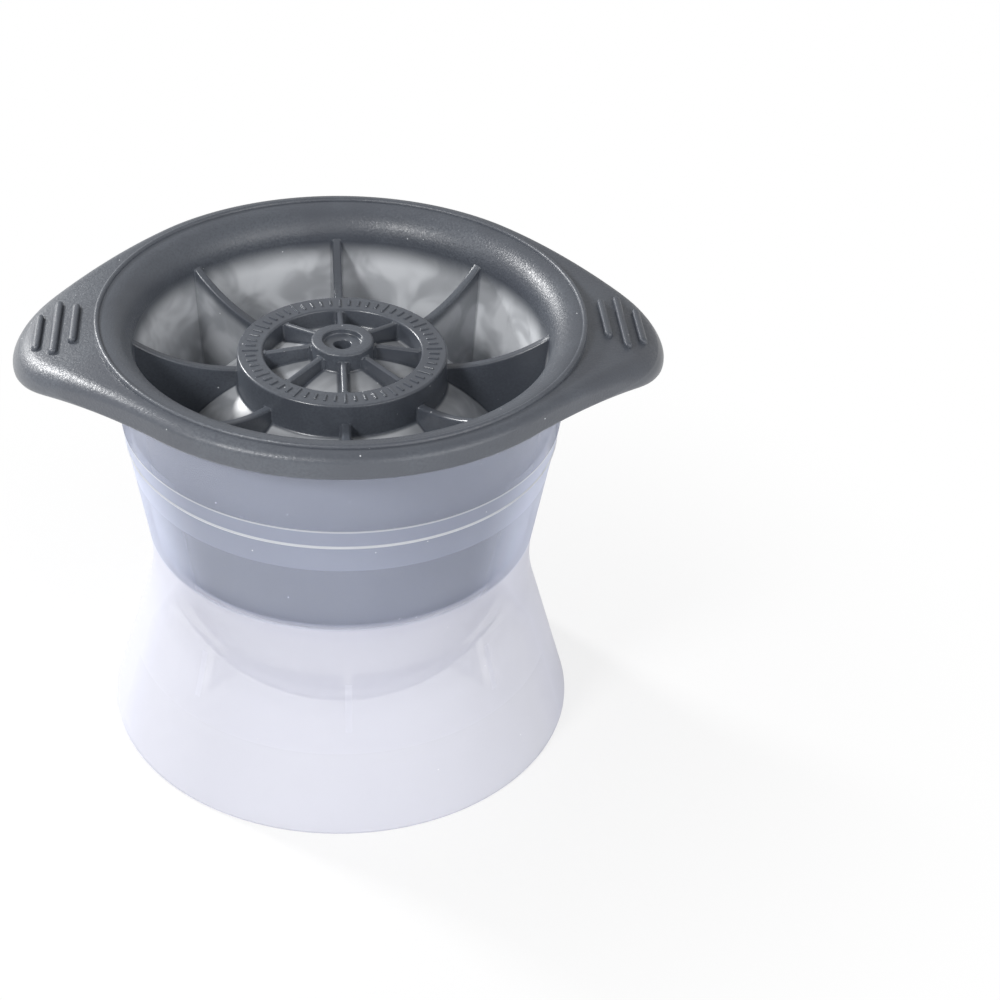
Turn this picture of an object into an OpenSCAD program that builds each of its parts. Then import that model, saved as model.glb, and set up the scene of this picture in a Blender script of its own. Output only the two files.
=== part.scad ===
// Two-piece ice ball mold: a rigid hourglass base that holds the lower half of the ball,
// and a soft cap, pressed into it, that holds the upper half.
// Millimetres, +Z up, origin at the centre of the foot on the table.

/* [Ice ball] */
// Diameter of the ball that the two halves enclose
ball_d = 63.5; // [50:0.5:80]

/* [Base bowl and cup] */
// Wall of the lower bowl
bowl_wall = 1.8; // [1.2:0.1:3]
// Free height under the bowl
foot_gap = 5.2; // [3:0.1:15]
// Width of the ledge that the cap's plug rests on
seat_w = 1.5; // [1.4:0.1:3]
// Wall of the cup above the ledge
cup_wall = 1.2; // [1:0.1:2.5]
// Lean of the cup wall from vertical, in degrees
cup_lean = 9; // [5:0.5:14]
// Height of the cup's rim above the top of the cap's dome
rim_over_dome = 3.45; // [0.5:0.05:6]
// Height of the fill line above the ledge
fill_line_rise = 20.2; // [8:0.1:26]
// How far the fill line stands out
fill_line_h = 0.25; // [0.1:0.05:0.6]
// Width of the fill line
fill_line_w = 0.8; // [0.4:0.1:2]

/* [Base skirt] */
// Wall of the skirt
skirt_wall = 1.6; // [1:0.1:3]
// Lean of the skirt from vertical, in degrees
skirt_lean = 16.4; // [8:0.2:22]
// Depth of the waist below the ledge
waist_drop = 7.2; // [7:0.1:12]
// Radius that rounds the waist
waist_round = 36; // [20:1:45]
// Depth below the ledge at which the bowl parts from the skirt
crotch_drop = 11.2; // [10:0.1:15]
// Number of ribs between the bowl and the skirt
rib_count = 8; // [4:1:12]
// Thickness of a rib
rib_t = 1.6; // [1:0.1:3]
// Depth of the ribs' lower edge below the ledge
rib_drop = 19.8; // [16:0.1:26]
// Height of the step inside the skirt
step_h = 15; // [6:0.5:18]
// Depth of the step inside the skirt
step_depth = 0.3; // [0.1:0.05:0.5]
// Rounding of the foot and the rim
edge_round = 0.4; // [0.2:0.1:0.6]

/* [Cap plug and dome] */
// Gap between the cap and the base, beside the plug and over the rim
fit_gap = 0.3; // [0.2:0.05:0.8]
// Wall of the dome over the ball
dome_wall = 2.2; // [1.5:0.1:4]
// Wall of the plug at the floor of the recess
plug_wall = 1.5; // [1.2:0.1:2]
// Wall of the plug at the throat of the dish
throat_wall = 3.3; // [2.5:0.1:5]
// Height of the recess floor above the ledge
floor_rise = 13.2; // [11:0.1:20]

/* [Cap wheel] */
// Outer diameter of the ring on the dome
ring_d = 36.2; // [28:0.2:44]
// Width of the ring's flat top
ring_w = 4.5; // [2.5:0.1:6]
// Height of the ring's top above the top of the dome
ring_rise = 0.95; // [0:0.05:2]
// Diameter of the hub
hub_d = 10.8; // [9:0.1:14]
// Height of the hub above the top of the dome
hub_rise = 3.05; // [2:0.05:4]
// Diameter of the well in the hub
well_d = 6.8; // [4.5:0.1:8]
// Depth of the well in the hub
well_depth = 1; // [0.5:0.1:2]
// Diameter of the vent through the dome
vent_d = 3; // [2:0.1:4]
// Number of spokes and of fins
spoke_count = 8; // [4:1:12]
// Thickness of a spoke
spoke_t = 1.1; // [0.8:0.1:2.5]
// Depth of a spoke's inner end below the hub's top
spoke_in_drop = 1.1; // [0.5:0.1:1.5]
// Depth of a spoke's outer end below the ring's top
spoke_out_drop = 0.3; // [0:0.1:1]
// Thickness of a fin
fin_t = 1.6; // [0.8:0.1:2.5]
// Depth of a fin's inner end below the ring's top
fin_drop = 3.4; // [1:0.1:4]
// Height of a fin's outer end above the throat
fin_tip_rise = 0.2; // [0:0.1:2]

/* [Cap brim and ears] */
// Overhang of the brim past the cup's rim
brim_over = 3.9; // [3:0.1:8]
// Thickness of the brim
brim_t = 4.5; // [3:0.1:7]
// Distance of the bead's outer side from the brim's edge
bead_inset = 2.5; // [1.2:0.1:2.8]
// Width of the bead round the dish
bead_w = 0.9; // [0.8:0.1:2]
// Height of the bead above the brim
bead_h = 0.5; // [0.3:0.05:1]
// Reach of an ear past the brim
ear_len = 11.5; // [8:0.5:20]
// Radius of an ear's end
ear_round = 19.2; // [12:0.2:24]
// Distance inside the brim's edge at which the droop starts
droop_inset = 15.3; // [10:0.1:20]
// Radius of the droop
droop_round = 70; // [50:1:120]
// Pitch of the grip bars
grip_pitch = 3.1; // [2.4:0.1:4]
// Width of a grip bar
grip_w = 1.4; // [1:0.1:2]
// Height of a grip bar above the ear
grip_h = 0.9; // [0.3:0.05:1.2]
// Distance of the outermost bar from the ear's tip
grip_inset = 4.4; // [3:0.1:6]
// Length of the inner bar
grip_in_len = 12; // [8:0.2:16]
// Length of the middle bar
grip_mid_len = 16.4; // [10:0.2:20]
// Length of the outer bar
grip_out_len = 10.8; // [6:0.2:14]

/* [Hidden] */
$fn = 96;

// Steps in an arc of a section or outline
arc_steps = 16;
// How far one solid runs into another that it joins
bury = 0.6;
// Margin by which a cut passes the faces it opens
cut_over = 1;

// Heights above the table
ball_r = ball_d / 2;
bowl_r = ball_r + bowl_wall;
dome_r = ball_r + dome_wall;
seat_z = foot_gap + bowl_r;
dome_top_z = seat_z + dome_r;
rim_z = dome_top_z + rim_over_dome;
flange_z = rim_z + fit_gap;
brim_z = flange_z + brim_t;
floor_z = seat_z + floor_rise;
crotch_z = seat_z - crotch_drop;
rib_z = seat_z - rib_drop;
fill_line_z = seat_z + fill_line_rise;
ring_z = dome_top_z + ring_rise;
hub_z = dome_top_z + hub_rise;

// Cup wall: inside and outside radius at a height, and the plug that fits it
cup_skin = cup_wall / cos(cup_lean);
function cup_in(z) = ball_r + seat_w + (z - seat_z) * tan(cup_lean);
function cup_out(z) = cup_in(z) + cup_skin;
function plug_out(z) = cup_in(z) - fit_gap;

// Skirt: a cone from the waist's corner down to the foot
waist_z = seat_z - waist_drop;
waist_r = cup_out(waist_z);
foot_r = waist_r + waist_z * tan(skirt_lean);
rim_r = cup_out(rim_z);
skirt_skin = skirt_wall / cos(skirt_lean);

// Arc of the waist, tangent to both cones
waist_turn = cup_lean + skirt_lean;
waist_tangent = waist_round * tan(waist_turn / 2);
waist_arc_c = [
    waist_r + waist_tangent * sin(cup_lean) + waist_round * cos(cup_lean),
    waist_z + waist_tangent * cos(cup_lean) - waist_round * sin(cup_lean)
];
function waist_arc(r) = [
    for (i = [0 : arc_steps])
        let (a = 180 + skirt_lean - waist_turn * i / arc_steps)
            waist_arc_c + r * [cos(a), sin(a)]
];

// Cap: throat of the dish, bead and brim
throat_r = plug_out(flange_z) - throat_wall;
brim_r = rim_r + brim_over;
bead_out_r = brim_r - bead_inset;
bead_r = bead_out_r - bead_w / 2;
mouth_r = bead_out_r - bead_w;
mouth_roll = mouth_r - throat_r;
ring_r = ring_d / 2;
fin_z = ring_z - fin_drop;
fin_tip_z = brim_z - mouth_roll + fin_tip_rise;
// Arc of a fin's top: level at the ring, rising to the throat
fin_run = throat_r - ring_r;
fin_lift = fin_tip_z - fin_z;
fin_round = (fin_run * fin_run + fin_lift * fin_lift) / (2 * fin_lift);

// Cap: plan of the brim with its two ears
ear_tip = brim_r + ear_len;
ear_x = ear_tip - ear_round;
shoulder = acos((brim_r - ear_round) / ear_x);
droop_x = brim_r - droop_inset;
droop_run = ear_tip + cut_over - droop_x;
// Stations across the brim at which the droop is worked out
droop_stations = concat(
    [for (i = [0 : arc_steps]) -droop_x - droop_run * (1 - i / arc_steps)],
    [for (i = [0 : arc_steps]) droop_x + droop_run * i / arc_steps]
);

function arc(c, r, a0, a1) = [
    for (i = [0 : arc_steps])
        let (a = a0 + (a1 - a0) * i / arc_steps)
            c + r * [cos(a), sin(a)]
];

// Height lost by the ears at a distance from the middle
function droop(x) = abs(x) <= droop_x ? 0
    : droop_round - sqrt(droop_round * droop_round - pow(abs(x) - droop_x, 2));

// Radius of a ball's section at a height above the ledge
function ball_section(r, z) = sqrt(r * r - pow(z - seat_z, 2));

// Radius of the skirt's middle skin at a height, along its straight cone
function skirt_mid(z) = waist_r + (waist_z - z) * tan(skirt_lean) - skirt_skin / 2;

// A plate standing on a radius, cut to an outline of [radius, height] points
module radial_plate(points, thickness, angle)
    rotate([0, 0, angle])
        rotate([90, 0, 0])
            linear_extrude(height = thickness, center = true)
                polygon(points);

module ball_space()
    translate([0, 0, seat_z])
        sphere(d = ball_d, $fn = 128);

// Outside of the base, as a solid of revolution
module base_outside()
    rotate_extrude()
        polygon(concat(
            [[0, 0], [foot_r - edge_round, 0], [foot_r, edge_round]],
            waist_arc(waist_round),
            [[cup_out(fill_line_z - fill_line_w / 2), fill_line_z - fill_line_w / 2],
             [cup_out(fill_line_z) + fill_line_h, fill_line_z],
             [cup_out(fill_line_z + fill_line_w / 2), fill_line_z + fill_line_w / 2],
             [cup_out(rim_z - edge_round), rim_z - edge_round],
             [rim_r - edge_round, rim_z],
             [0, rim_z]]
        ));

// Hollow of the skirt, round the outside of the bowl
module skirt_hollow()
    difference() {
        intersection() {
            rotate_extrude()
                polygon(concat(
                    [[0, -cut_over],
                     [foot_r - skirt_skin + step_depth + cut_over * tan(skirt_lean), -cut_over],
                     [foot_r - skirt_skin + step_depth - step_h * tan(skirt_lean), step_h],
                     [foot_r - skirt_skin - step_h * tan(skirt_lean), step_h]],
                    waist_arc(waist_round + skirt_wall),
                    [[0, seat_z]]
                ));
            translate([0, 0, -cut_over])
                cylinder(h = crotch_z + cut_over, r = foot_r + cut_over);
        }
        translate([0, 0, seat_z])
            sphere(r = bowl_r, $fn = 128);
    }

// One rib between the bowl and the skirt
module base_rib(angle)
    radial_plate([
        [ball_section(bowl_r, crotch_z) - bury, crotch_z + bury],
        [skirt_mid(crotch_z) + bury, crotch_z + bury],
        [skirt_mid(rib_z), rib_z],
        [ball_section(bowl_r, rib_z) - bury, rib_z]
    ], rib_t, angle);

module plastic_base()
    color([0.86, 0.87, 0.93, 0.55])
        union() {
            difference() {
                base_outside();
                translate([0, 0, seat_z])
                    cylinder(h = rim_z - seat_z + cut_over, r1 = cup_in(seat_z), r2 = cup_in(rim_z + cut_over));
                ball_space();
                skirt_hollow();
            }
            for (i = [0 : rib_count - 1])
                base_rib(i * 360 / rib_count - 90);
        }

// Plug wall, floor of the recess, rolled mouth of the dish and the bead round it
module cap_wall()
    rotate_extrude()
        polygon(concat(
            [[ball_section(ball_r + dome_wall / 2, floor_z), floor_z],
             [ball_r - bury, seat_z],
             [plug_out(seat_z), seat_z],
             [plug_out(flange_z), flange_z],
             [bead_out_r, flange_z],
             [bead_out_r, brim_z]],
            [for (p = arc([0, 0], 1, 0, 180)) [bead_r + p[0] * bead_w / 2, brim_z + p[1] * bead_h]],
            arc([mouth_r, brim_z - mouth_roll], mouth_roll, 90, 180),
            [[plug_out(floor_z) - plug_wall, floor_z]]
        ));

// Dome over the upper half of the ball, inside the cone of the plug
module cap_dome()
    intersection() {
        translate([0, 0, seat_z])
            sphere(r = dome_r, $fn = 128);
        translate([0, 0, seat_z])
            cylinder(h = dome_r, r1 = plug_out(seat_z), r2 = plug_out(dome_top_z));
    }

// Ring that stands on the dome
module cap_ring()
    rotate_extrude()
        translate([ring_r - ring_w, seat_z])
            square([ring_w, ring_z - seat_z]);

// Spoke on the dome, from the hub down to the ring
module cap_spoke(angle)
    radial_plate([
        [hub_d / 2 - bury, seat_z],
        [hub_d / 2 - bury, hub_z - spoke_in_drop],
        [ring_r - ring_w + bury, ring_z - spoke_out_drop],
        [ring_r - ring_w + bury, seat_z]
    ], spoke_t, angle);

// Fin from the ring out to the throat: its top sags by the ring and rises to the wall
module cap_fin(angle)
    radial_plate(concat(
        [[ring_r - bury, seat_z], [ring_r - bury, fin_z]],
        arc([ring_r, fin_z + fin_round], fin_round, -90, asin(fin_run / fin_round) - 90),
        [[throat_r + bury, fin_tip_z],
         [plug_out(floor_z) - plug_wall + bury, floor_z],
         [ball_r - bury, seat_z]]
    ), fin_t, angle);

// Brim with its two ears: the plan, drooping towards the tips
module brim_plan()
    polygon(concat(
        arc([0, 0], brim_r, shoulder, 180 - shoulder),
        arc([-ear_x, 0], ear_round, 180 - shoulder, 180 + shoulder),
        arc([0, 0], brim_r, 180 + shoulder, 360 - shoulder),
        arc([ear_x, 0], ear_round, -shoulder, shoulder)
    ));

module droop_band(low, high)
    rotate([90, 0, 0])
        linear_extrude(height = 2 * (brim_r + cut_over), center = true)
            polygon(concat(
                [for (x = droop_stations) [x, high - droop(x)]],
                [for (i = [1 : len(droop_stations)])
                    let (x = droop_stations[len(droop_stations) - i]) [x, low - droop(x)]]
            ));

// The brim is open inside the bead, and has a groove under it for the cup's rim
module cap_brim()
    difference() {
        intersection() {
            linear_extrude(height = brim_z + cut_over)
                brim_plan();
            droop_band(flange_z, brim_z);
        }
        translate([0, 0, flange_z + bury])
            cylinder(h = brim_t, r = bead_out_r - bury / 2);
        cylinder(h = flange_z, r = rim_r + fit_gap);
        cylinder(h = brim_z, r = rim_r - bury);
    }

// Raised bars on an ear: a straight bar with round ends
module grip_bar(x, length) {
    for (end = [-1, 1])
        translate([x, end * (length - grip_w) / 2, 0])
            cylinder(h = brim_z + cut_over, d = grip_w);
    translate([x - grip_w / 2, -(length - grip_w) / 2, 0])
        cube([grip_w, length - grip_w, brim_z + cut_over]);
}

module cap_grips()
    intersection() {
        for (side = [-1, 1]) {
            grip_bar(side * (ear_tip - grip_inset), grip_out_len);
            grip_bar(side * (ear_tip - grip_inset - grip_pitch), grip_mid_len);
            grip_bar(side * (ear_tip - grip_inset - 2 * grip_pitch), grip_in_len);
        }
        droop_band(brim_z - bury, brim_z + grip_h);
    }

module silicone_cap()
    color([0.32, 0.34, 0.38])
        difference() {
            union() {
                cap_wall();
                cap_dome();
                cap_ring();
                translate([0, 0, seat_z])
                    cylinder(h = hub_z - seat_z, d = hub_d);
                for (i = [0 : spoke_count - 1]) {
                    cap_spoke(i * 360 / spoke_count);
                    cap_fin(i * 360 / spoke_count);
                }
                cap_brim();
                cap_grips();
            }
            ball_space();
            translate([0, 0, hub_z - well_depth])
                cylinder(h = well_depth + cut_over, d = well_d);
            translate([0, 0, seat_z])
                cylinder(h = hub_z - seat_z, d = vent_d);
        }

plastic_base();
silicone_cap();
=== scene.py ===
import math

import bmesh
import bpy
from mathutils import Matrix, Vector


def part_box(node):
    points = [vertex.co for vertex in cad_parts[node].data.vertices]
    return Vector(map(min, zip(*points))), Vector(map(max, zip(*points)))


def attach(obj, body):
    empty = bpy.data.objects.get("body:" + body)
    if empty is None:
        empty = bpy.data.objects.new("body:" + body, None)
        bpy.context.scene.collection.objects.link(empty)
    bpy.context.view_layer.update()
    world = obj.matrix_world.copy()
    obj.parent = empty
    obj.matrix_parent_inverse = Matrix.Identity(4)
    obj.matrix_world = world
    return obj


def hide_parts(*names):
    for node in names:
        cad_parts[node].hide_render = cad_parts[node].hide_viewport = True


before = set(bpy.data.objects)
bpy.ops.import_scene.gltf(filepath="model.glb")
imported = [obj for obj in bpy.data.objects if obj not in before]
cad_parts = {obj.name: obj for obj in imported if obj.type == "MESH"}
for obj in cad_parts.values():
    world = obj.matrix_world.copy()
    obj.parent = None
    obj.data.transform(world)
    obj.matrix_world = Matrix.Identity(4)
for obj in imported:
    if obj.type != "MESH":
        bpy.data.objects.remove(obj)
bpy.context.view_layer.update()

# Base shell
# A rigid hourglass moulded in one shot from milky plastic: a flared skirt to stand on, a waist,
# a bowl for the lower half of the ball, a ledge round the bowl and the cup above the ledge.
mm = 0.001
ball_r = 31.75 * mm
bowl_wall = 1.8 * mm
foot_gap = 5.2 * mm
seat_w = 1.5 * mm
cup_wall = 1.2 * mm
cup_lean = math.radians(9)
skirt_wall = 1.6 * mm
skirt_lean = math.radians(16.4)
waist_drop = 7.2 * mm
waist_round = 36 * mm
crotch_drop = 11.2 * mm
crotch_round = 0.6 * mm
step_h = 15 * mm
step_depth = 0.3 * mm
fill_line_rise = 20.2 * mm
fill_line_h = 0.25 * mm
fill_line_w = 0.8 * mm
rim_round = 0.45 * mm
foot_round = 0.5 * mm
ledge_round = 0.4 * mm
spin_steps = 256
cone_rows = 12
weld = 0.001 * mm

bowl_r = ball_r + bowl_wall
seat_z = foot_gap + bowl_r
rim_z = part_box("plastic_base")[1].z
cup_skin = cup_wall / math.cos(cup_lean)
skirt_skin = skirt_wall / math.cos(skirt_lean)


def cup_in(z):
    """Inside radius of the cup at a height."""
    return ball_r + seat_w + (z - seat_z) * math.tan(cup_lean)


def cup_out(z):
    """Outside radius of the cup at a height."""
    return cup_in(z) + cup_skin


def arc(centre, radius, start, end, steps):
    """Points (out, up) of a round stretch of a section, from one angle to another in degrees."""
    turns = [math.radians(start + (end - start) * i / steps) for i in range(steps + 1)]
    return [(centre[0] + radius * math.cos(a), centre[1] + radius * math.sin(a)) for a in turns]


def evenly(start, end, count):
    """Places from one value to another, both ends included."""
    return [start + (end - start) * i / (count - 1) for i in range(count)]


def sharp(points):
    """Points of a section that keep their corners."""
    return [(out, up, 0) for out, up in points]


def rounded(corners, steps=5):
    """A section from corners (out, up, rounding): each rounding becomes an arc between its two sides."""
    points = []
    for i, (out, up, rounding) in enumerate(corners):
        corner = Vector((out, up))
        if rounding == 0:
            points.append(corner)
            continue
        back = (Vector(corners[i - 1][:2]) - corner).normalized()
        ahead = (Vector(corners[i + 1][:2]) - corner).normalized()
        half = back.angle(ahead) / 2
        centre = corner + (back + ahead).normalized() * rounding / math.sin(half)
        first = corner + back * rounding / math.tan(half) - centre
        last = corner + ahead * rounding / math.tan(half) - centre
        turn = first.angle_signed(last)
        for k in range(steps + 1):
            points.append(centre + first @ Matrix.Rotation(turn * k / steps, 2))
    return points


def drawn_chain(name, points):
    """A line of edges in the plane of X and Z, drawn by pulling one point from corner to corner."""
    bpy.ops.object.select_all(action="DESELECT")
    bpy.ops.mesh.primitive_plane_add(size=mm)
    piece = bpy.context.object
    piece.name = name
    bpy.ops.object.mode_set(mode="EDIT")
    bpy.ops.mesh.merge(type="CENTER")
    bpy.ops.transform.translate(value=(points[0][0], 0, points[0][1]))
    for here, there in zip(points, points[1:]):
        pull = (there[0] - here[0], 0, there[1] - here[1])
        bpy.ops.mesh.extrude_region_move(TRANSFORM_OT_translate={"value": pull})
    bpy.ops.mesh.select_all(action="SELECT")
    return piece


def spun(name, points):
    """A wall of revolution: its half section, drawn and spun once round the upright axis."""
    piece = drawn_chain(name, points)
    bpy.ops.mesh.spin(steps=spin_steps, angle=math.tau, center=(0, 0, 0), axis=(0, 0, 1))
    bpy.ops.mesh.select_all(action="SELECT")
    bpy.ops.mesh.remove_doubles(threshold=weld)
    bpy.ops.mesh.normals_make_consistent(inside=False)
    bpy.ops.object.mode_set(mode="OBJECT")
    return piece


waist_z = seat_z - waist_drop
waist_r = cup_out(waist_z)
foot_r = waist_r + waist_z * math.tan(skirt_lean)
waist_turn = cup_lean + skirt_lean
waist_tangent = waist_round * math.tan(waist_turn / 2)
waist_centre = (
    waist_r + waist_tangent * math.sin(cup_lean) + waist_round * math.cos(cup_lean),
    waist_z + waist_tangent * math.cos(cup_lean) - waist_round * math.sin(cup_lean),
)
waist_top = 180 - math.degrees(cup_lean)
waist_low = 180 + math.degrees(skirt_lean)
crotch_z = seat_z - crotch_drop
fill_line_z = seat_z + fill_line_rise
step_r = foot_r - skirt_skin - step_h * math.tan(skirt_lean)
crotch_turn = math.degrees(math.asin((crotch_z - waist_centre[1]) / (waist_round + skirt_wall)))
bowl_turn = math.degrees(math.asin((crotch_z - seat_z) / bowl_r))

inner_waist = arc(waist_centre, waist_round + skirt_wall, waist_low, 180 - crotch_turn, steps=12)
inner_cone = zip(
    evenly(step_r, inner_waist[0][0], cone_rows),
    evenly(step_h + step_depth, inner_waist[0][1], cone_rows),
)
base_section = rounded(
    sharp(arc((0, seat_z), ball_r, -90, 0, steps=40)[:-1])
    + [
        (ball_r, seat_z, ledge_round),
        (cup_in(seat_z), seat_z, ledge_round),
        (cup_in(rim_z), rim_z, rim_round),
        (cup_out(rim_z), rim_z, rim_round),
        (cup_out(fill_line_z + fill_line_w / 2), fill_line_z + fill_line_w / 2, 0),
        (cup_out(fill_line_z) + fill_line_h, fill_line_z, fill_line_w / 4),
        (cup_out(fill_line_z - fill_line_w / 2), fill_line_z - fill_line_w / 2, 0),
    ]
    + sharp(arc(waist_centre, waist_round, waist_top, waist_low, steps=20))
    + [
        (foot_r, 0, foot_round),
        (foot_r - skirt_skin + step_depth, 0, foot_round),
        (step_r + step_depth, step_h, 0),
    ]
    + sharp(inner_cone)
    + sharp(inner_waist[1:-1])
    + [
        (inner_waist[-1][0], crotch_z, crotch_round),
        (bowl_r * math.cos(math.radians(bowl_turn)), crotch_z, crotch_round),
    ]
    + sharp(arc((0, seat_z), bowl_r, bowl_turn, -90, steps=36)[1:])
)
base = spun("hourglass_base", base_section)

# Base ribs
# Thin upright ribs, moulded with the shell, that tie the bowl to the skirt under the waist.
# One is drawn as a plate, set round the axis and made one with the shell.
rib_count = 8
rib_t = 1.6 * mm
rib_drop = 19.8 * mm
bury = 0.6 * mm
rib_z = seat_z - rib_drop


def bowl_out(z):
    """Outside radius of the bowl at a height."""
    return math.sqrt(bowl_r ** 2 - (z - seat_z) ** 2)


def skirt_mid(z):
    """Middle of the skirt's wall at a height, along its straight cone."""
    return waist_r + (waist_z - z) * math.tan(skirt_lean) - skirt_skin / 2


def set_round(count):
    """Copies what is selected to equal places round the upright axis."""
    turn = math.tau * (count - 1) / count
    bpy.ops.mesh.spin(steps=count - 1, angle=turn, dupli=True, center=(0, 0, 0), axis=(0, 0, 1))


def united(piece, extra):
    """Joins a second mesh to a piece as one skin, with nothing left inside."""
    bpy.ops.object.select_all(action="DESELECT")
    bpy.context.view_layer.objects.active = piece
    piece.select_set(True)
    union = piece.modifiers.new("union", "BOOLEAN")
    union.operation = "UNION"
    union.solver = "EXACT"
    union.object = extra
    bpy.ops.object.modifier_apply(modifier=union.name)
    bpy.data.objects.remove(extra)


rib_outline = [
    (bowl_out(crotch_z) - bury, crotch_z + bury),
    (skirt_mid(crotch_z) + bury, crotch_z + bury),
    (skirt_mid(rib_z), rib_z),
    (bowl_out(rib_z) - bury, rib_z),
]
ribs = drawn_chain("ribs", rib_outline)
bpy.ops.mesh.edge_face_add()
bpy.ops.transform.translate(value=(0, -rib_t / 2, 0))
bpy.ops.mesh.extrude_region_move(TRANSFORM_OT_translate={"value": (0, rib_t, 0)})
bpy.ops.mesh.select_all(action="SELECT")
bpy.ops.mesh.normals_make_consistent(inside=False)
set_round(rib_count)
bpy.ops.object.mode_set(mode="OBJECT")
united(base, ribs)

# Base finish
# Rigid plastic with a milky body: nearly clear in the thin cup and whiter in the skirt. A moulded fill
# line shows on the cup, white partly as a painted highlight for its glint. A paler band round it is
# painted light, the lit strip below the shadow of the cap's brim, with a thin painted highlight line at
# the shadow's edge;
# above that edge the cup's pale edges are cut back as painted shadow. Pale strips show where the ribs
# stand.
base_smooth_to = 40


def smoothed(piece, angle):
    """Smooth shading up to an angle, with the flat faces kept flat."""
    bpy.ops.object.select_all(action="DESELECT")
    bpy.context.view_layer.objects.active = piece
    piece.select_set(True)
    bpy.ops.object.shade_smooth_by_angle(angle=math.radians(angle))
    weighted = piece.modifiers.new("weighted", "WEIGHTED_NORMAL")
    weighted.keep_sharp = True
    bpy.ops.object.modifier_apply(modifier=weighted.name)


smoothed(base, base_smooth_to)


def feed(tree, node, feeds):
    """Sets sockets of a node to plain values, or links other nodes' sockets to them."""
    for socket, source in feeds.items():
        if isinstance(source, bpy.types.NodeSocket):
            tree.links.new(source, node.inputs[socket])
        else:
            node.inputs[socket].default_value = source


def add_node(tree, kind, feeds, **settings):
    """A node of a kind in a tree, with its settings and what its sockets are fed."""
    node = tree.nodes.new("ShaderNode" + kind)
    for setting, value in settings.items():
        setattr(node, setting, value)
    feed(tree, node, feeds)
    return node


def ranged(tree, value, low, high, from_low=0, from_high=1):
    """A value carried smoothly from one range to another."""
    feeds = {"Value": value, "From Min": from_low, "From Max": from_high, "To Min": low, "To Max": high}
    return add_node(tree, "MapRange", feeds, interpolation_type="SMOOTHSTEP").outputs["Result"]


def worked(tree, operation, first, second=0):
    """One sum on one or two values."""
    return add_node(tree, "Math", {0: first, 1: second}, operation=operation).outputs[0]


def mixed(tree, share, first, second):
    """A colour between two others, by a share."""
    node = add_node(tree, "Mix", {"Factor": share}, data_type="RGBA")
    ends = [i for i, socket in enumerate(node.inputs) if socket.type == "RGBA"]
    feed(tree, node, {ends[0]: first, ends[1]: second})
    return next(socket for socket in node.outputs if socket.type == "RGBA")


def from_axis(tree, place):
    """Distance of a place from the upright axis."""
    flat = add_node(tree, "VectorMath", {0: place, 1: (1, 1, 0)}, operation="MULTIPLY")
    return add_node(tree, "VectorMath", {0: flat.outputs["Vector"]}, operation="LENGTH").outputs["Value"]


def new_group(name, inputs, outputs):
    """An empty shader node group with number sockets, and its two end nodes."""
    group = bpy.data.node_groups.new(name, "ShaderNodeTree")
    for socket in inputs:
        group.interface.new_socket(name=socket, in_out="INPUT", socket_type="NodeSocketFloat")
    for socket in outputs:
        group.interface.new_socket(name=socket, in_out="OUTPUT", socket_type="NodeSocketFloat")
    return group, group.nodes.new("NodeGroupInput"), group.nodes.new("NodeGroupOutput")


def moulded_skin_group():
    """Fine grain off a spark-eroded mould, and the soft clouds that the melt leaves as it flows."""
    group, given, result = new_group("moulded_skin", ["Grain Scale", "Cloud Scale"], ["Grain", "Cloud"])
    place = add_node(group, "TexCoord", {}).outputs["Object"]
    fine = {"Vector": place, "Scale": given.outputs["Grain Scale"]}
    fine.update({"Detail": grain_detail, "Roughness": grain_breakup})
    soft = {"Vector": place, "Scale": given.outputs["Cloud Scale"]}
    soft.update({"Detail": cloud_detail, "Distortion": cloud_swirl})
    grain = add_node(group, "TexNoise", fine).outputs["Fac"]
    cloud = add_node(group, "TexNoise", soft).outputs["Fac"]
    feed(group, result, {"Grain": grain, "Cloud": ranged(group, cloud, 0, 1, cloud_low, cloud_high)})
    return group


def dust_group():
    """Small pale specks of settled dust: one in some cells of a Voronoi pattern."""
    group, given, result = new_group("dust", ["Scale", "Amount"], ["Speck"])
    place = add_node(group, "TexCoord", {}).outputs["Object"]
    cells = add_node(group, "TexVoronoi", {"Vector": place, "Scale": given.outputs["Scale"]})
    draw = add_node(group, "SeparateColor", {"Color": cells.outputs["Color"]}).outputs["Red"]
    kept = worked(group, "LESS_THAN", draw, given.outputs["Amount"])
    dot = ranged(group, cells.outputs["Distance"], 1, 0, dust_core, dust_edge)
    feed(group, result, {"Speck": worked(group, "MULTIPLY", kept, dot)})
    return group


def plate_gap_group():
    """Distance from the nearest of the upright planes in which the ribs and the fins stand."""
    group, given, result = new_group("plate_gap", [], ["Gap"])
    place = add_node(group, "TexCoord", {}).outputs["Object"]
    along = add_node(group, "SeparateXYZ", {"Vector": place}).outputs
    turn = worked(group, "ARCTAN2", along["Y"], along["X"])
    off = worked(group, "PINGPONG", turn, math.pi / rib_count)
    feed(group, result, {"Gap": worked(group, "MULTIPLY", from_axis(group, place), off)})
    return group


grain_detail = 3
grain_breakup = 0.6
cloud_detail = 2
cloud_swirl = 0.6
cloud_low = 0.3
cloud_high = 0.7
dust_core = 0.05
dust_edge = 0.11
milky_cup = (0.66, 0.715, 0.91, 1)
milky_skirt = (0.73, 0.74, 0.85, 1)
cup_density = 0.145
lit_band_density = 0.14
skirt_density = 0.66
rib_density = 0.1
rib_share = 0.35
inner_share = 0.4
line_density = 0.36
shadow_edge_line_density = 0.3
step_density = 0.05
limb_density = 0.6
shaded_limb_share = 0.3
limb_start = 0.5
limb_full = 0.9
density_drift = 0.03
seat_fade = 1.6 * mm
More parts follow.
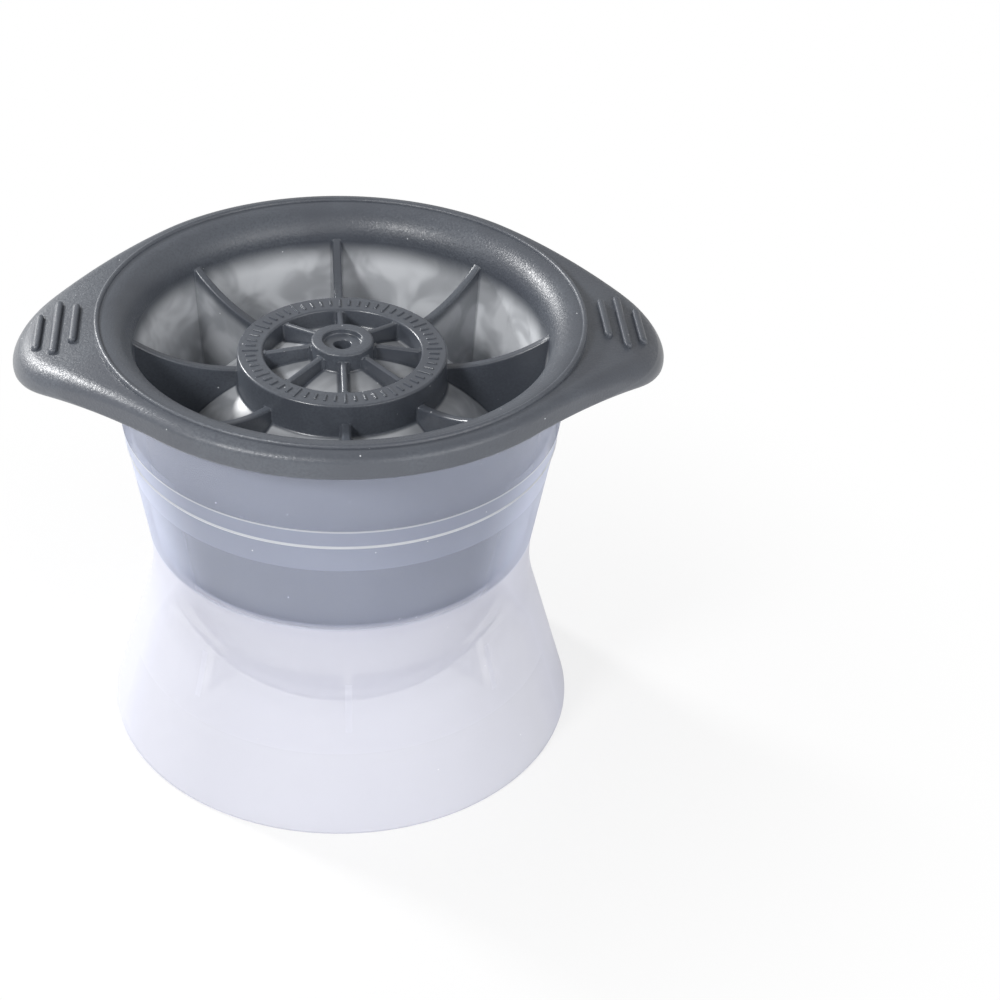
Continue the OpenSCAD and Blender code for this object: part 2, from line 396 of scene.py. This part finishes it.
# Painted light on the cup: a paler band, the lit strip below the cap brim's shadow, spans these two
# heights; its top is the edge of that shadow.
shadow_edge_z = fill_line_z + 3.4 * mm
lit_band_low = fill_line_z - 5.4 * mm
milky_smooth = 0.29
milky_dull = 0.36
milky_cloud_scale = 25
dust_scale = 700
milky_dust = 0.02
# Pale white for dust specks, also used for the painted highlight lines on the cup.
dust_and_glint_white = (0.8, 0.82, 0.85, 1)
edge_blur = 0.12 * mm
rib_blur = 0.4 * mm
milky_ior = 1.49
milky_through = 0.15

moulded_skin = moulded_skin_group()
dust = dust_group()
plate_gap = plate_gap_group()

milky = bpy.data.materials.new("milky_plastic")
milky.use_nodes = True
tree = milky.node_tree
shader = tree.nodes["Principled BSDF"]
skin = add_node(tree, "Group", {"Cloud Scale": milky_cloud_scale}, node_tree=moulded_skin)
specks = add_node(tree, "Group", {"Scale": dust_scale, "Amount": milky_dust}, node_tree=dust)
gap = add_node(tree, "Group", {}, node_tree=plate_gap).outputs["Gap"]
cloud = skin.outputs["Cloud"]
speck = specks.outputs["Speck"]
place = add_node(tree, "TexCoord", {}).outputs["Object"]
up = add_node(tree, "SeparateXYZ", {"Vector": place}).outputs["Z"]
out = from_axis(tree, place)
slant = add_node(tree, "LayerWeight", {}).outputs["Facing"]
below_seat = ranged(tree, up, 1, 0, seat_z, seat_z + seat_fade)
below_shadow_edge = ranged(tree, up, 1, 0, shadow_edge_z - edge_blur, shadow_edge_z + edge_blur)
above_lit_band_low = ranged(tree, up, 0, 1, lit_band_low - edge_blur, lit_band_low + edge_blur)
cup_side = worked(tree, "SUBTRACT", out, worked(tree, "MULTIPLY", up, math.tan(cup_lean)))
cup_foot = cup_out(0) - cup_skin / 2
on_cup = ranged(tree, cup_side, 0, 1, cup_foot - edge_blur, cup_foot + edge_blur)
off_line = worked(tree, "ABSOLUTE", worked(tree, "SUBTRACT", up, fill_line_z))
on_line = worked(tree, "MULTIPLY", ranged(tree, off_line, 1, 0, fill_line_w / 4, fill_line_w / 2), on_cup)
# Painted highlight: a thin bright white line on the cup where the brim's shadow ends.
off_shadow_edge = worked(tree, "ABSOLUTE", worked(tree, "SUBTRACT", up, shadow_edge_z))
on_shadow_edge = worked(tree, "MULTIPLY", ranged(tree, off_shadow_edge, 1, 0, fill_line_w / 8, fill_line_w / 3), on_cup)
above_step = ranged(tree, up, 0, 1, step_h - edge_blur, step_h + edge_blur)
in_rib = ranged(tree, gap, 1, 0, rib_t / 2 - rib_blur, rib_t / 2)
below_crotch = ranged(tree, up, 1, 0, crotch_z, crotch_z + edge_blur)
above_rib = ranged(tree, up, 0, 1, rib_z - rib_blur, rib_z + rib_blur)
rib_span = worked(tree, "MULTIPLY", below_crotch, above_rib)
skirt_out = worked(tree, "ADD", out, worked(tree, "MULTIPLY", up, math.tan(skirt_lean)))
skirt_foot = foot_r - skirt_skin / 2
on_skirt = ranged(tree, skirt_out, 0, 1, skirt_foot - edge_blur, skirt_foot + edge_blur)
over_rib = worked(tree, "MULTIPLY", worked(tree, "MULTIPLY", in_rib, rib_span), on_skirt)
near_rib = worked(tree, "MULTIPLY", rib_span, ranged(tree, gap, 1, 0, rib_t / 2, rib_t / 2 + edge_blur))
of_rib = worked(tree, "SUBTRACT", near_rib, worked(tree, "MULTIPLY", near_rib, on_skirt))
# Painted light: denser, paler plastic in the band below the brim's shadow edge, standing in for the lit
# strip.
in_lit_band = worked(tree, "MULTIPLY", on_cup, worked(tree, "MULTIPLY", below_shadow_edge, above_lit_band_low))
limb = ranged(tree, slant, 0, limb_density, limb_start, limb_full)
# Painted shadow: above the brim's shadow edge the cup's pale grazing edges are cut to a share.
limb = worked(tree, "MULTIPLY", limb, ranged(tree, below_shadow_edge, shaded_limb_share, 1))
density = ranged(tree, below_seat, cup_density, skirt_density)
extras = [
    (cloud, density_drift),
    (in_lit_band, lit_band_density),
    (on_shadow_edge, shadow_edge_line_density),
    (on_line, line_density),
    (over_rib, rib_density),
    (above_step, step_density),
]
for share, extra in extras:
    density = worked(tree, "ADD", density, ranged(tree, share, 0, extra))
inner = worked(tree, "SUBTRACT", below_seat, worked(tree, "MULTIPLY", below_seat, on_skirt))
density = worked(tree, "MULTIPLY", worked(tree, "ADD", density, limb), ranged(tree, of_rib, 1, rib_share))
density = worked(tree, "MULTIPLY", density, ranged(tree, inner, 1, inner_share))
density = worked(tree, "MINIMUM", density, 1)
tint = mixed(tree, below_seat, milky_cup, milky_skirt)
# The dust specks are real; the white on the moulded fill line is partly its thicker plastic and partly a
# painted highlight for its glint, and the line at the brim's shadow edge is a painted highlight.
dust_and_glint_lines = worked(tree, "MAXIMUM", speck, worked(tree, "MAXIMUM", on_line, on_shadow_edge))
feed(tree, shader, {
    "Base Color": mixed(tree, dust_and_glint_lines, tint, dust_and_glint_white),
    "Roughness": ranged(tree, cloud, milky_smooth, milky_dull),
    "Alpha": worked(tree, "MAXIMUM", density, speck),
    "IOR": milky_ior,
    "Transmission Weight": milky_through,
})
base.data.materials.append(milky)
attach(base, "base")
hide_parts("plastic_base")

# Cap body
# A soft silicone moulding: a plug that fits the cup, a dome over the upper half of the ball, a ring
# and a hub on the dome, and a dish whose rolled mouth carries a bead and a brim with two ears.
fit_gap = 0.3 * mm
dome_wall = 2.2 * mm
plug_wall = 1.5 * mm
throat_wall = 3.3 * mm
floor_rise = 13.2 * mm
ring_r = 18.1 * mm
ring_w = 4.5 * mm
ring_rise = 0.95 * mm
ring_round = 0.45 * mm
hub_r = 5.4 * mm
hub_rise = 3.05 * mm
hub_round = 0.5 * mm
well_r = 3.4 * mm
well_depth = 1 * mm
vent_r = 1.5 * mm
brim_over = 3.9 * mm
brim_t = 4.5 * mm
bead_inset = 2.5 * mm
bead_w = 0.9 * mm
bead_h = 0.5 * mm
ear_len = 11.5 * mm
ear_round = 19.2 * mm
droop_inset = 15.3 * mm
droop_round = 70 * mm
lip_w = 2 * mm
lip_h = 1.4 * mm
lip_low_round = 0.8 * mm
ear_lip_w = 3.4 * mm
ear_lip_h = 2.7 * mm
ear_low_round = 1.7 * mm
ear_lip_run = 8 * mm
ear_belly = 0.3 * mm
floor_round = 0.7 * mm
foot_fillet = 0.6 * mm
plug_round = 0.5 * mm
brim_rows = 9
seam = 0.04 * mm

dome_r = ball_r + dome_wall
dome_top_z = seat_z + dome_r
ring_z = dome_top_z + ring_rise
hub_z = dome_top_z + hub_rise
floor_z = seat_z + floor_rise
flange_z = rim_z + fit_gap
brim_z = flange_z + brim_t
rim_r = cup_out(rim_z)
brim_r = rim_r + brim_over
groove_r = rim_r + fit_gap
bead_out_r = brim_r - bead_inset
mouth_r = bead_out_r - bead_w
throat_r = cup_in(flange_z) - fit_gap - throat_wall
mouth_roll = mouth_r - throat_r
ear_tip = brim_r + ear_len
ear_x = ear_tip - ear_round
shoulder = math.acos((brim_r - ear_round) / ear_x)
ear_turn = math.atan2(ear_round * math.sin(shoulder), ear_x + ear_round * math.cos(shoulder))
droop_x = brim_r - droop_inset


def plug_out(z):
    """Outside radius of the plug at a height."""
    return cup_in(z) - fit_gap


def dome_up(r):
    """Height of the dome's outside at a radius."""
    return seat_z + math.sqrt(dome_r ** 2 - r ** 2)


def dome_arc(r_from, r_to, steps):
    """Points on the dome's outside from one radius to another."""
    start = math.degrees(math.acos(r_from / dome_r))
    end = math.degrees(math.acos(r_to / dome_r))
    return arc((0, seat_z), dome_r, start, end, steps)


dome_inner_start = math.degrees(math.acos(vent_r / ball_r))
floor_dome_r = math.sqrt(dome_r ** 2 - floor_rise ** 2)
bead_arc = arc((0, 0), 1, 0, 180, steps=10)
lip_arc = arc((0, 0), 1, 0, 90, steps=10)
spin_brim_r = ear_tip
cap_section = rounded(
    sharp(arc((0, seat_z), ball_r, dome_inner_start, 0, steps=30)[:-1])
    + [
        (ball_r, seat_z, ledge_round / 2),
        (plug_out(seat_z), seat_z, plug_round),
        (plug_out(fill_line_z), fill_line_z, 0),
        (plug_out(flange_z), flange_z, plug_round),
        (groove_r, flange_z, 0),
    ]
    + sharp([(r, flange_z) for r in evenly(groove_r + seam, spin_brim_r - lip_low_round, brim_rows)][:-1])
    + [(spin_brim_r, flange_z, lip_low_round)]
    + sharp([(spin_brim_r - lip_w * (1 - c), brim_z - lip_h * (1 - s)) for c, s in lip_arc])
    + sharp([(r, brim_z) for r in evenly(spin_brim_r - lip_w, bead_out_r + seam, brim_rows)][1:])
    + sharp([(bead_out_r - bead_w / 2 * (1 - c), brim_z + bead_h * s) for c, s in bead_arc])
    + sharp(arc((mouth_r, brim_z - mouth_roll), mouth_roll, 90, 180, steps=16)[1:])
    + [
        (plug_out(floor_z) - plug_wall, floor_z, floor_round),
        (floor_dome_r, floor_z, floor_round),
    ]
    + sharp(dome_arc(floor_dome_r, ring_r, steps=22)[1:-1])
    + [
        (ring_r, dome_up(ring_r), foot_fillet),
        (ring_r, ring_z, ring_round),
        (ring_r - ring_w, ring_z, ring_round),
        (ring_r - ring_w, dome_up(ring_r - ring_w), foot_fillet),
    ]
    + sharp(dome_arc(ring_r - ring_w, hub_r, steps=8)[1:-1])
    + [
        (hub_r, dome_up(hub_r), foot_fillet),
        (hub_r, hub_z, hub_round),
        (well_r, hub_z, hub_round / 2),
        (well_r, hub_z - well_depth, hub_round / 2),
        (vent_r, hub_z - well_depth, hub_round / 2),
        (vent_r, seat_z + math.sqrt(ball_r ** 2 - vent_r ** 2), 0),
    ]
)
cap = spun("silicone_cap_body", cap_section)


def droop(x):
    """Height that the ears lose at a distance from the middle."""
    past = max(abs(x) - droop_x, 0)
    return droop_round - math.sqrt(droop_round ** 2 - past ** 2)


def brim_edge(turn):
    """Edge of the brim's plan in a direction, and the way that it faces there."""
    side = math.copysign(1, math.cos(turn))
    fold = math.asin(abs(math.sin(turn)))
    ray = Vector((math.cos(fold), math.sin(fold)))
    if fold >= shoulder:
        edge = ray * brim_r
        face = ray
    elif fold >= ear_turn:
        edge = ray * brim_r / math.cos(fold - shoulder)
        face = Vector((math.cos(shoulder), math.sin(shoulder)))
    else:
        reach = ear_x * ray.x + math.sqrt(ear_round ** 2 - (ear_x * ray.y) ** 2)
        edge = ray * reach
        face = (edge - Vector((ear_x, 0))) / ear_round
    flip = Vector((side, math.copysign(1, math.sin(turn))))
    return edge * flip, face * flip


for vertex in cap.data.vertices:
    radius = vertex.co.xy.length
    under = vertex.co.z < flange_z + brim_t / 2
    start_r = groove_r if under else bead_out_r
    if vertex.co.z < flange_z - seam or radius < start_r + seam / 2:
        continue
    edge, face = brim_edge(math.atan2(vertex.co.y, vertex.co.x))
    ear_share = min(max(edge.length - brim_r, 0) / ear_lip_run, 1)
    spin_lip, ear_lip = (lip_low_round, ear_low_round) if under else (lip_w, ear_lip_w)
    lip = spin_lip + ear_share * (ear_lip - spin_lip)
    inset = spin_brim_r - radius
    out_share = min((radius - start_r) / (spin_brim_r - spin_lip - start_r), 1)
    start = vertex.co.xy.normalized() * start_r
    if inset > spin_lip:
        place = start.lerp(edge - face * lip, out_share)
    else:
        place = edge - face * inset * lip / spin_lip
    if under:
        low_grow = 1 + ear_share * (ear_low_round / lip_low_round - 1)
        vertex.co.z = flange_z + (vertex.co.z - flange_z) * low_grow - ear_belly * ear_share * out_share
    else:
        lip_grow = 1 + ear_share * (ear_lip_h / lip_h - 1)
        vertex.co.z = brim_z - (brim_z - vertex.co.z) * lip_grow
    vertex.co.x = place.x
    vertex.co.y = place.y
    vertex.co.z -= droop(place.x)

# Spokes and fins
# Thin upright plates of the same moulding: the spokes run down the dome from the hub to the ring, and
# the fins stand in the recess from the ring out to the throat. Both swell where they meet a wall.
spoke_count = 8
spoke_t = 1.1 * mm
spoke_in_drop = 1.1 * mm
spoke_out_drop = 0.3 * mm
spoke_swell = 0.6 * mm
fin_t = 1.6 * mm
fin_drop = 3.4 * mm
fin_tip_rise = 0.2 * mm
fin_swell = 0.3 * mm
plate_round = 0.45 * mm
swell_rows = 5

dome_mid_r = ball_r + dome_wall / 2
ring_in_r = ring_r - ring_w
throat_z = brim_z - mouth_roll
wall_lean = (throat_r - plug_out(floor_z) + plug_wall) / (throat_z - floor_z)
fin_z = ring_z - fin_drop
fin_run = throat_r - ring_r
fin_lift = throat_z + fin_tip_rise - fin_z
fin_round = (fin_run ** 2 + fin_lift ** 2) / (2 * fin_lift)


def plate_rows(start, end, swell, middle):
    """Places along a plate: close together in the swelling at each end, even between."""
    near = evenly(start, start + swell, swell_rows)
    far = evenly(end - swell, end, swell_rows)
    return [start - bury] + near + evenly(near[-1], far[0], middle)[1:-1] + far + [end + bury]


def swelling(gap, swell):
    """How far a plate's side stands out at a distance from the wall it meets."""
    inside = min(max(swell - gap, 0), swell)
    return swell - math.sqrt(swell ** 2 - inside ** 2)


def radial_plate(name, tops, bottoms, thickness, gap_at, swell):
    """Upright plates round the axis, from a top line down to a bottom line, with rounded top edges."""
    plate = drawn_chain(name, tops)
    bpy.ops.mesh.extrude_region_move()
    edit = bmesh.from_edit_mesh(plate.data)
    lower = sorted((v for v in edit.verts if v.select), key=lambda v: v.co.x)
    for vertex, (out, up) in zip(lower, bottoms):
        vertex.co = (out, 0, up)
    bpy.ops.mesh.select_all(action="SELECT")
    bpy.ops.transform.translate(value=(0, -thickness / 2, 0))
    bpy.ops.mesh.extrude_region_move(TRANSFORM_OT_translate={"value": (0, thickness, 0)})
    bpy.ops.mesh.select_all(action="SELECT")
    bpy.ops.mesh.normals_make_consistent(inside=False)
    bpy.ops.mesh.select_mode(type="EDGE")
    bpy.ops.mesh.select_all(action="DESELECT")
    top_line = {(round(out / seam), round(up / seam)) for out, up in tops}
    edit = bmesh.from_edit_mesh(plate.data)
    for edge in edit.edges:
        on_top = all((round(v.co.x / seam), round(v.co.z / seam)) in top_line for v in edge.verts)
        edge.select_set(on_top and abs(edge.verts[0].co.y - edge.verts[1].co.y) < seam)
    bpy.ops.mesh.bevel(offset=plate_round, segments=3, affect="EDGES")
    edit = bmesh.from_edit_mesh(plate.data)
    for vertex in edit.verts:
        spread = swelling(gap_at(vertex.co), swell)
        vertex.co.y *= 1 + 2 * spread / thickness
    bpy.ops.mesh.select_mode(type="VERT")
    bpy.ops.mesh.select_all(action="SELECT")
    set_round(spoke_count)
    bpy.ops.object.mode_set(mode="OBJECT")
    return plate


def dome_mid_up(r):
    """Height of the middle of the dome's wall at a radius."""
    return seat_z + math.sqrt(dome_mid_r ** 2 - r ** 2)


def spoke_gap(place):
    """Distance of a point of a spoke from the hub or the ring."""
    return min(place.x - hub_r, ring_in_r - place.x)


def fin_gap(place):
    """Distance of a point of a fin from the ring or the throat's wall."""
    wall = throat_r - wall_lean * max(throat_z - place.z, 0)
    return min(place.x - ring_r, wall - place.x)


def spoke_top(r):
    """Height of a spoke's top at a radius."""
    share = (r - hub_r) / (ring_in_r - hub_r)
    return hub_z - spoke_in_drop + share * (ring_z - spoke_out_drop - hub_z + spoke_in_drop)


def fin_top(r):
    """Height of a fin's top at a radius: level at the ring, rising in an arc to the throat."""
    run = min(max(r - ring_r, 0), fin_run)
    return fin_z + fin_round - math.sqrt(fin_round ** 2 - run ** 2)


spoke_rows = plate_rows(hub_r, ring_in_r, spoke_swell, middle=4)
spoke_tops = [(r, spoke_top(r)) for r in spoke_rows]
spoke_bottoms = [(r, dome_mid_up(r)) for r in spoke_rows]
spokes = radial_plate("spokes", spoke_tops, spoke_bottoms, spoke_t, spoke_gap, spoke_swell)
united(cap, spokes)

fin_rows = plate_rows(ring_r, throat_r, fin_swell, middle=16)
fin_tops = [(r, fin_top(r)) for r in fin_rows]
fin_bottoms = []
for r in fin_rows:
    share = min(max((r - ring_r) / fin_run, 0), 1)
    out = r - share * wall_lean * (fin_top(r) - floor_z + bury)
    fin_bottoms.append((out, floor_z - bury if out > floor_dome_r else dome_mid_up(out)))
fins = radial_plate("fins", fin_tops, fin_bottoms, fin_t, fin_gap, fin_swell)
united(cap, fins)

# Grip bars
# Three raised bars across each ear, moulded with the cap, for fingers to pull on. Their ends are
# round, their tops are soft, and they bend down with the ear.
grip_pitch = 3.1 * mm
grip_w = 1.4 * mm
grip_h = 0.9 * mm
grip_inset = 4.4 * mm
grip_lengths = [10.8 * mm, 16.4 * mm, 12 * mm]
grip_end_round = 0.672 * mm
grip_round = 0.6 * mm
ear_count = 2
grip_foot = 0.8 * mm


def block(name, low, high):
    """A cube set to fill the space between two corners, open for shaping."""
    bpy.ops.object.select_all(action="DESELECT")
    bpy.ops.mesh.primitive_cube_add(size=1)
    piece = bpy.context.object
    piece.name = name
    bpy.ops.object.mode_set(mode="EDIT")
    bpy.ops.transform.resize(value=[b - a for a, b in zip(low, high)])
    bpy.ops.transform.translate(value=[(a + b) / 2 for a, b in zip(low, high)])
    return piece


def bevel_where(piece, test, size, segments):
    """Bevels the edges whose two ends pass a test."""
    bpy.ops.mesh.select_mode(type="EDGE")
    bpy.ops.mesh.select_all(action="DESELECT")
    edit = bmesh.from_edit_mesh(piece.data)
    for edge in edit.edges:
        edge.select_set(test(edge.verts[0].co, edge.verts[1].co))
    bpy.ops.mesh.bevel(offset=size, segments=segments, affect="EDGES")


for row, length in enumerate(grip_lengths):
    x = ear_tip - grip_inset - row * grip_pitch
    low = (x - grip_w / 2, -length / 2, brim_z - grip_foot)
    high = (x + grip_w / 2, length / 2, brim_z + grip_h)
    bar = block("grip_bar", low, high)
    bevel_where(bar, lambda a, b: abs(a.z - b.z) > grip_h, grip_end_round, segments=6)
    bevel_where(bar, lambda a, b: min(a.z, b.z) > brim_z, grip_round, segments=5)
    bpy.ops.mesh.select_mode(type="VERT")
    bpy.ops.mesh.select_all(action="SELECT")
    set_round(ear_count)
    edit = bmesh.from_edit_mesh(bar.data)
    for vertex in edit.verts:
        vertex.co.z -= droop(vertex.co.x)
    bpy.ops.object.mode_set(mode="OBJECT")
    united(cap, bar)

# Ring marks
# A plain scale of short raised marks round the flat top of the ring, every fifth one longer.
# They are part of the moulding, with soft edges.
mark_count = 60
long_every = 5
mark_w = 0.42 * mm
mark_h = 0.22 * mm
mark_len = 1.7 * mm
long_mark_len = 2.7 * mm
mark_round = 0.12 * mm
mark_mid_r = ring_r - ring_w / 2


def ring_marks(length, turns):
    """Raised marks of one length at some turns of the ring's top."""
    low = (mark_mid_r - length / 2, -mark_w / 2, ring_z - bury)
    high = (mark_mid_r + length / 2, mark_w / 2, ring_z + mark_h)
    marks = block("ring_marks", low, high)
    bevel_where(marks, lambda a, b: min(a.z, b.z) > ring_z, mark_round, segments=2)
    bpy.ops.mesh.select_mode(type="VERT")
    bpy.ops.mesh.select_all(action="SELECT")
    placed_at = 0
    for turn in turns:
        if turn != turns[0]:
            bpy.ops.mesh.duplicate()
        step = (turn - placed_at) * math.tau / mark_count
        bpy.ops.transform.rotate(value=step, orient_axis="Z", center_override=(0, 0, 0))
        placed_at = turn
    bpy.ops.object.mode_set(mode="OBJECT")
    return marks


united(cap, ring_marks(long_mark_len, range(0, mark_count, long_every)))
united(cap, ring_marks(mark_len, [turn for turn in range(mark_count) if turn % long_every]))

# Cap finish
# Charcoal silicone with a satin skin: slightly cloudy, with fine grain and a little dust. The deep part of
# the recess carries a pale patchy painted sheen for glare on the dome, weaker in front, that leaves the
# plates' edges bare.
cap_smooth_to = 35
charcoal_dark = (0.076, 0.085, 0.104, 1)
charcoal_light = (0.095, 0.107, 0.128, 1)
# Painted sheen: a pale grey mixed into the recess, standing in for the glare that light lays on the dome.
painted_sheen_grey = (0.80, 0.82, 0.85, 1)
painted_sheen_least = 0.55
painted_sheen_most = 0.95
painted_sheen_deep = 5 * mm
painted_sheen_patch_scale = 140
front_sheen_share = 0.6
fin_bare = 0.45
fin_edge = 0.8 * mm
fin_fade = 3 * mm
charcoal_smooth = 0.3
charcoal_dull = 0.5
charcoal_grain_scale = 2300
charcoal_cloud_scale = 60
charcoal_dust = 0.08
grain_low = 0.3
grain_high = 0.7
grain_strength = 1
grain_depth = 0.08 * mm
shade_most = 2
charcoal_gloss = 0.75

smoothed(cap, cap_smooth_to)

charcoal = bpy.data.materials.new("charcoal_silicone")
charcoal.use_nodes = True
tree = charcoal.node_tree
shader = tree.nodes["Principled BSDF"]
scales = {"Grain Scale": charcoal_grain_scale, "Cloud Scale": charcoal_cloud_scale}
skin = add_node(tree, "Group", scales, node_tree=moulded_skin)
specks = add_node(tree, "Group", {"Scale": dust_scale, "Amount": charcoal_dust}, node_tree=dust)
# The same cloud noise, larger, breaks the painted sheen in the recess into patches.
sheen_patches = add_node(tree, "Group", {"Cloud Scale": painted_sheen_patch_scale}, node_tree=moulded_skin)
gap = add_node(tree, "Group", {}, node_tree=plate_gap).outputs["Gap"]
speck = specks.outputs["Speck"]
place = add_node(tree, "TexCoord", {}).outputs["Object"]
along = add_node(tree, "SeparateXYZ", {"Vector": place}).outputs
up = along["Z"]
out = from_axis(tree, place)
to_ball = add_node(tree, "VectorMath", {0: place, 1: (0, 0, seat_z)}, operation="DISTANCE")
deep = ranged(tree, up, 1, 0, throat_z - painted_sheen_deep, throat_z)
above_floor = ranged(tree, up, 0, 1, floor_z - plug_round, floor_z - edge_blur)
outside_ball = ranged(tree, to_ball.outputs["Value"], 0, 1, dome_r - dome_wall / 2, dome_r - dome_wall / 4)
wall_out = worked(tree, "SUBTRACT", out, worked(tree, "MULTIPLY", up, wall_lean))
wall_foot = throat_r - wall_lean * throat_z
inside_wall = ranged(tree, wall_out, 1, 0, wall_foot + edge_blur, wall_foot + plug_wall / 2)
from_ring = worked(tree, "ABSOLUTE", worked(tree, "SUBTRACT", out, ring_r - ring_w / 2))
off_ring = ranged(tree, from_ring, 0, 1, ring_w / 2 + edge_blur, ring_w / 2 + bury)
off_hub = ranged(tree, out, 0, 1, hub_r + edge_blur, hub_r + bury)
past_ring = worked(tree, "DIVIDE", worked(tree, "SUBTRACT", out, ring_r), fin_run)
fin_rise = worked(tree, "MULTIPLY", worked(tree, "MULTIPLY", past_ring, past_ring), fin_lift)
below_top = worked(tree, "SUBTRACT", worked(tree, "ADD", fin_rise, fin_z), up)
on_fin = ranged(tree, gap, 1, 0, fin_t / 2 + edge_blur, fin_t / 2 + bury)
front_half = ranged(tree, along["Y"], 1, 0, -edge_blur, edge_blur)
bare_edge = ranged(tree, below_top, 1, fin_bare, fin_edge, fin_fade)
bare_fin = worked(tree, "MULTIPLY", on_fin, worked(tree, "MAXIMUM", bare_edge, front_half))
off_fin = worked(tree, "SUBTRACT", 1, bare_fin)
# Painted sheen: pale, patchy, weaker on the front half and kept off the fins' top edges.
painted_sheen = ranged(tree, sheen_patches.outputs["Cloud"], painted_sheen_least, painted_sheen_most)
less_sheen_front = ranged(tree, front_half, 1, front_sheen_share)
for limit in (less_sheen_front, deep, above_floor, outside_ball, inside_wall, off_ring, off_hub, off_fin):
    painted_sheen = worked(tree, "MULTIPLY", painted_sheen, limit)
grain = skin.outputs["Grain"]
mottle = ranged(tree, grain, 0, shade_most, grain_low, grain_high)
shade = worked(tree, "MULTIPLY", mottle, skin.outputs["Cloud"])
tint = mixed(tree, shade, charcoal_dark, charcoal_light)
sheened_tint = mixed(tree, painted_sheen, tint, painted_sheen_grey)
outside_cup = ranged(tree, up, 0, 1, throat_z - bury, throat_z)
grain = worked(tree, "MULTIPLY", grain, outside_cup)
relief = add_node(tree, "Bump", {"Strength": grain_strength, "Distance": grain_depth, "Height": grain})
feed(tree, shader, {
    "Base Color": mixed(tree, speck, sheened_tint, dust_and_glint_white),
    "Roughness": ranged(tree, grain, charcoal_smooth, charcoal_dull, grain_low, grain_high),
    "Normal": relief.outputs["Normal"],
    "Specular IOR Level": charcoal_gloss,
})
cap.data.materials.append(charcoal)
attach(cap, "cap")
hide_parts("silicone_cap")

# Table, light and camera
# A plain pale table under soft studio light: a key light from the back left, a small light from the
# front left and a wide fill light from the front right. The camera looks from the front and above.
table_r = 3
table_sides = 96
table_white = 0.93
table_dull = 0.8
sky_strength = 0.3
key_way = Vector((-0.7, 0.64, 0.5))
key_reach = 0.9
key_size = 0.12
key_power = 5.6
front_way = Vector((-0.52, -0.56, 0.64))
front_reach = 0.5
front_size = 0.1
front_power = 1.2
fill_way = Vector((0.64, -0.73, 0.24))
fill_reach = 1
fill_size = 0.8
fill_power = 4.8
white_near = 0.04
white_far = 0.14
shadow_cover = 0.78
mirror_share = 0.4

bpy.ops.object.select_all(action="DESELECT")
bpy.ops.mesh.primitive_circle_add(vertices=table_sides, radius=table_r, fill_type="NGON")
table = bpy.context.object
table.name = "table"


def seen_directly(tree):
    """One for what the camera sees, straight or through clear walls, and less for what gloss mirrors."""
    path = add_node(tree, "LightPath", {}).outputs
    straight = worked(tree, "MAXIMUM", path["Is Camera Ray"], path["Is Transmission Ray"])
    mirrored = worked(tree, "MULTIPLY", path["Is Glossy Ray"], mirror_share)
    return worked(tree, "MAXIMUM", straight, mirrored)


table_paint = bpy.data.materials.new("pale_table")
table_paint.use_nodes = True
tree = table_paint.node_tree
shader = tree.nodes["Principled BSDF"]
feed(tree, shader, {"Base Color": (table_white, table_white, table_white, 1), "Roughness": table_dull})
place = add_node(tree, "TexCoord", {}).outputs["Object"]
from_mold = add_node(tree, "VectorMath", {0: place}, operation="LENGTH").outputs["Value"]
cover = ranged(tree, from_mold, shadow_cover, 1, white_near, white_far)
glow = add_node(tree, "Emission", {})
faded = add_node(tree, "MixShader", {
    "Fac": worked(tree, "MULTIPLY", cover, seen_directly(tree)),
    1: shader.outputs["BSDF"],
    2: glow.outputs["Emission"],
})
feed(tree, tree.nodes["Material Output"], {"Surface": faded.outputs["Shader"]})
table.data.materials.append(table_paint)

world = bpy.data.worlds.new("studio")
bpy.context.scene.world = world
world.use_nodes = True
tree = world.node_tree
feed(tree, tree.nodes["Background"], {
    "Color": (1, 1, 1, 1),
    "Strength": ranged(tree, seen_directly(tree), sky_strength, 1),
})

middle = Vector((0, 0, seat_z))


def softbox(name, way, reach, size, power):
    """A square lamp at a distance from the mold, turned towards it."""
    lamp = bpy.data.lights.new(name, "AREA")
    lamp.size = size
    lamp.energy = power
    holder = bpy.data.objects.new(name, lamp)
    bpy.context.scene.collection.objects.link(holder)
    holder.location = middle + way.normalized() * reach
    holder.rotation_euler = (-way).to_track_quat("-Z", "Y").to_euler()


softbox("key_light", key_way, key_reach, key_size, key_power)
softbox("front_light", front_way, front_reach, front_size, front_power)
softbox("fill_light", fill_way, fill_reach, fill_size, fill_power)

camera_sensor = 36
camera_lens = 79.73
camera_back = 327.5 * mm
camera_up = 271.9 * mm
camera_tilt = math.radians(35.07)
camera_yaw = math.radians(4.07)
camera_round = math.radians(-1.73)

camera_data = bpy.data.cameras.new("camera")
camera_data.sensor_width = camera_sensor
camera_data.lens = camera_lens
camera = bpy.data.objects.new("camera", camera_data)
bpy.context.scene.collection.objects.link(camera)
walk = Matrix.Rotation(camera_round, 3, "Z")
tilt = Matrix.Rotation(math.pi / 2 - camera_tilt, 3, "X")
yaw = Matrix.Rotation(-camera_yaw, 3, "Y")
camera.location = walk @ Vector((0, -camera_back, camera_up))
camera.rotation_euler = (walk @ tilt @ yaw).to_euler()
bpy.context.scene.camera = camera
bpy.context.scene.view_settings.view_transform = "Standard"
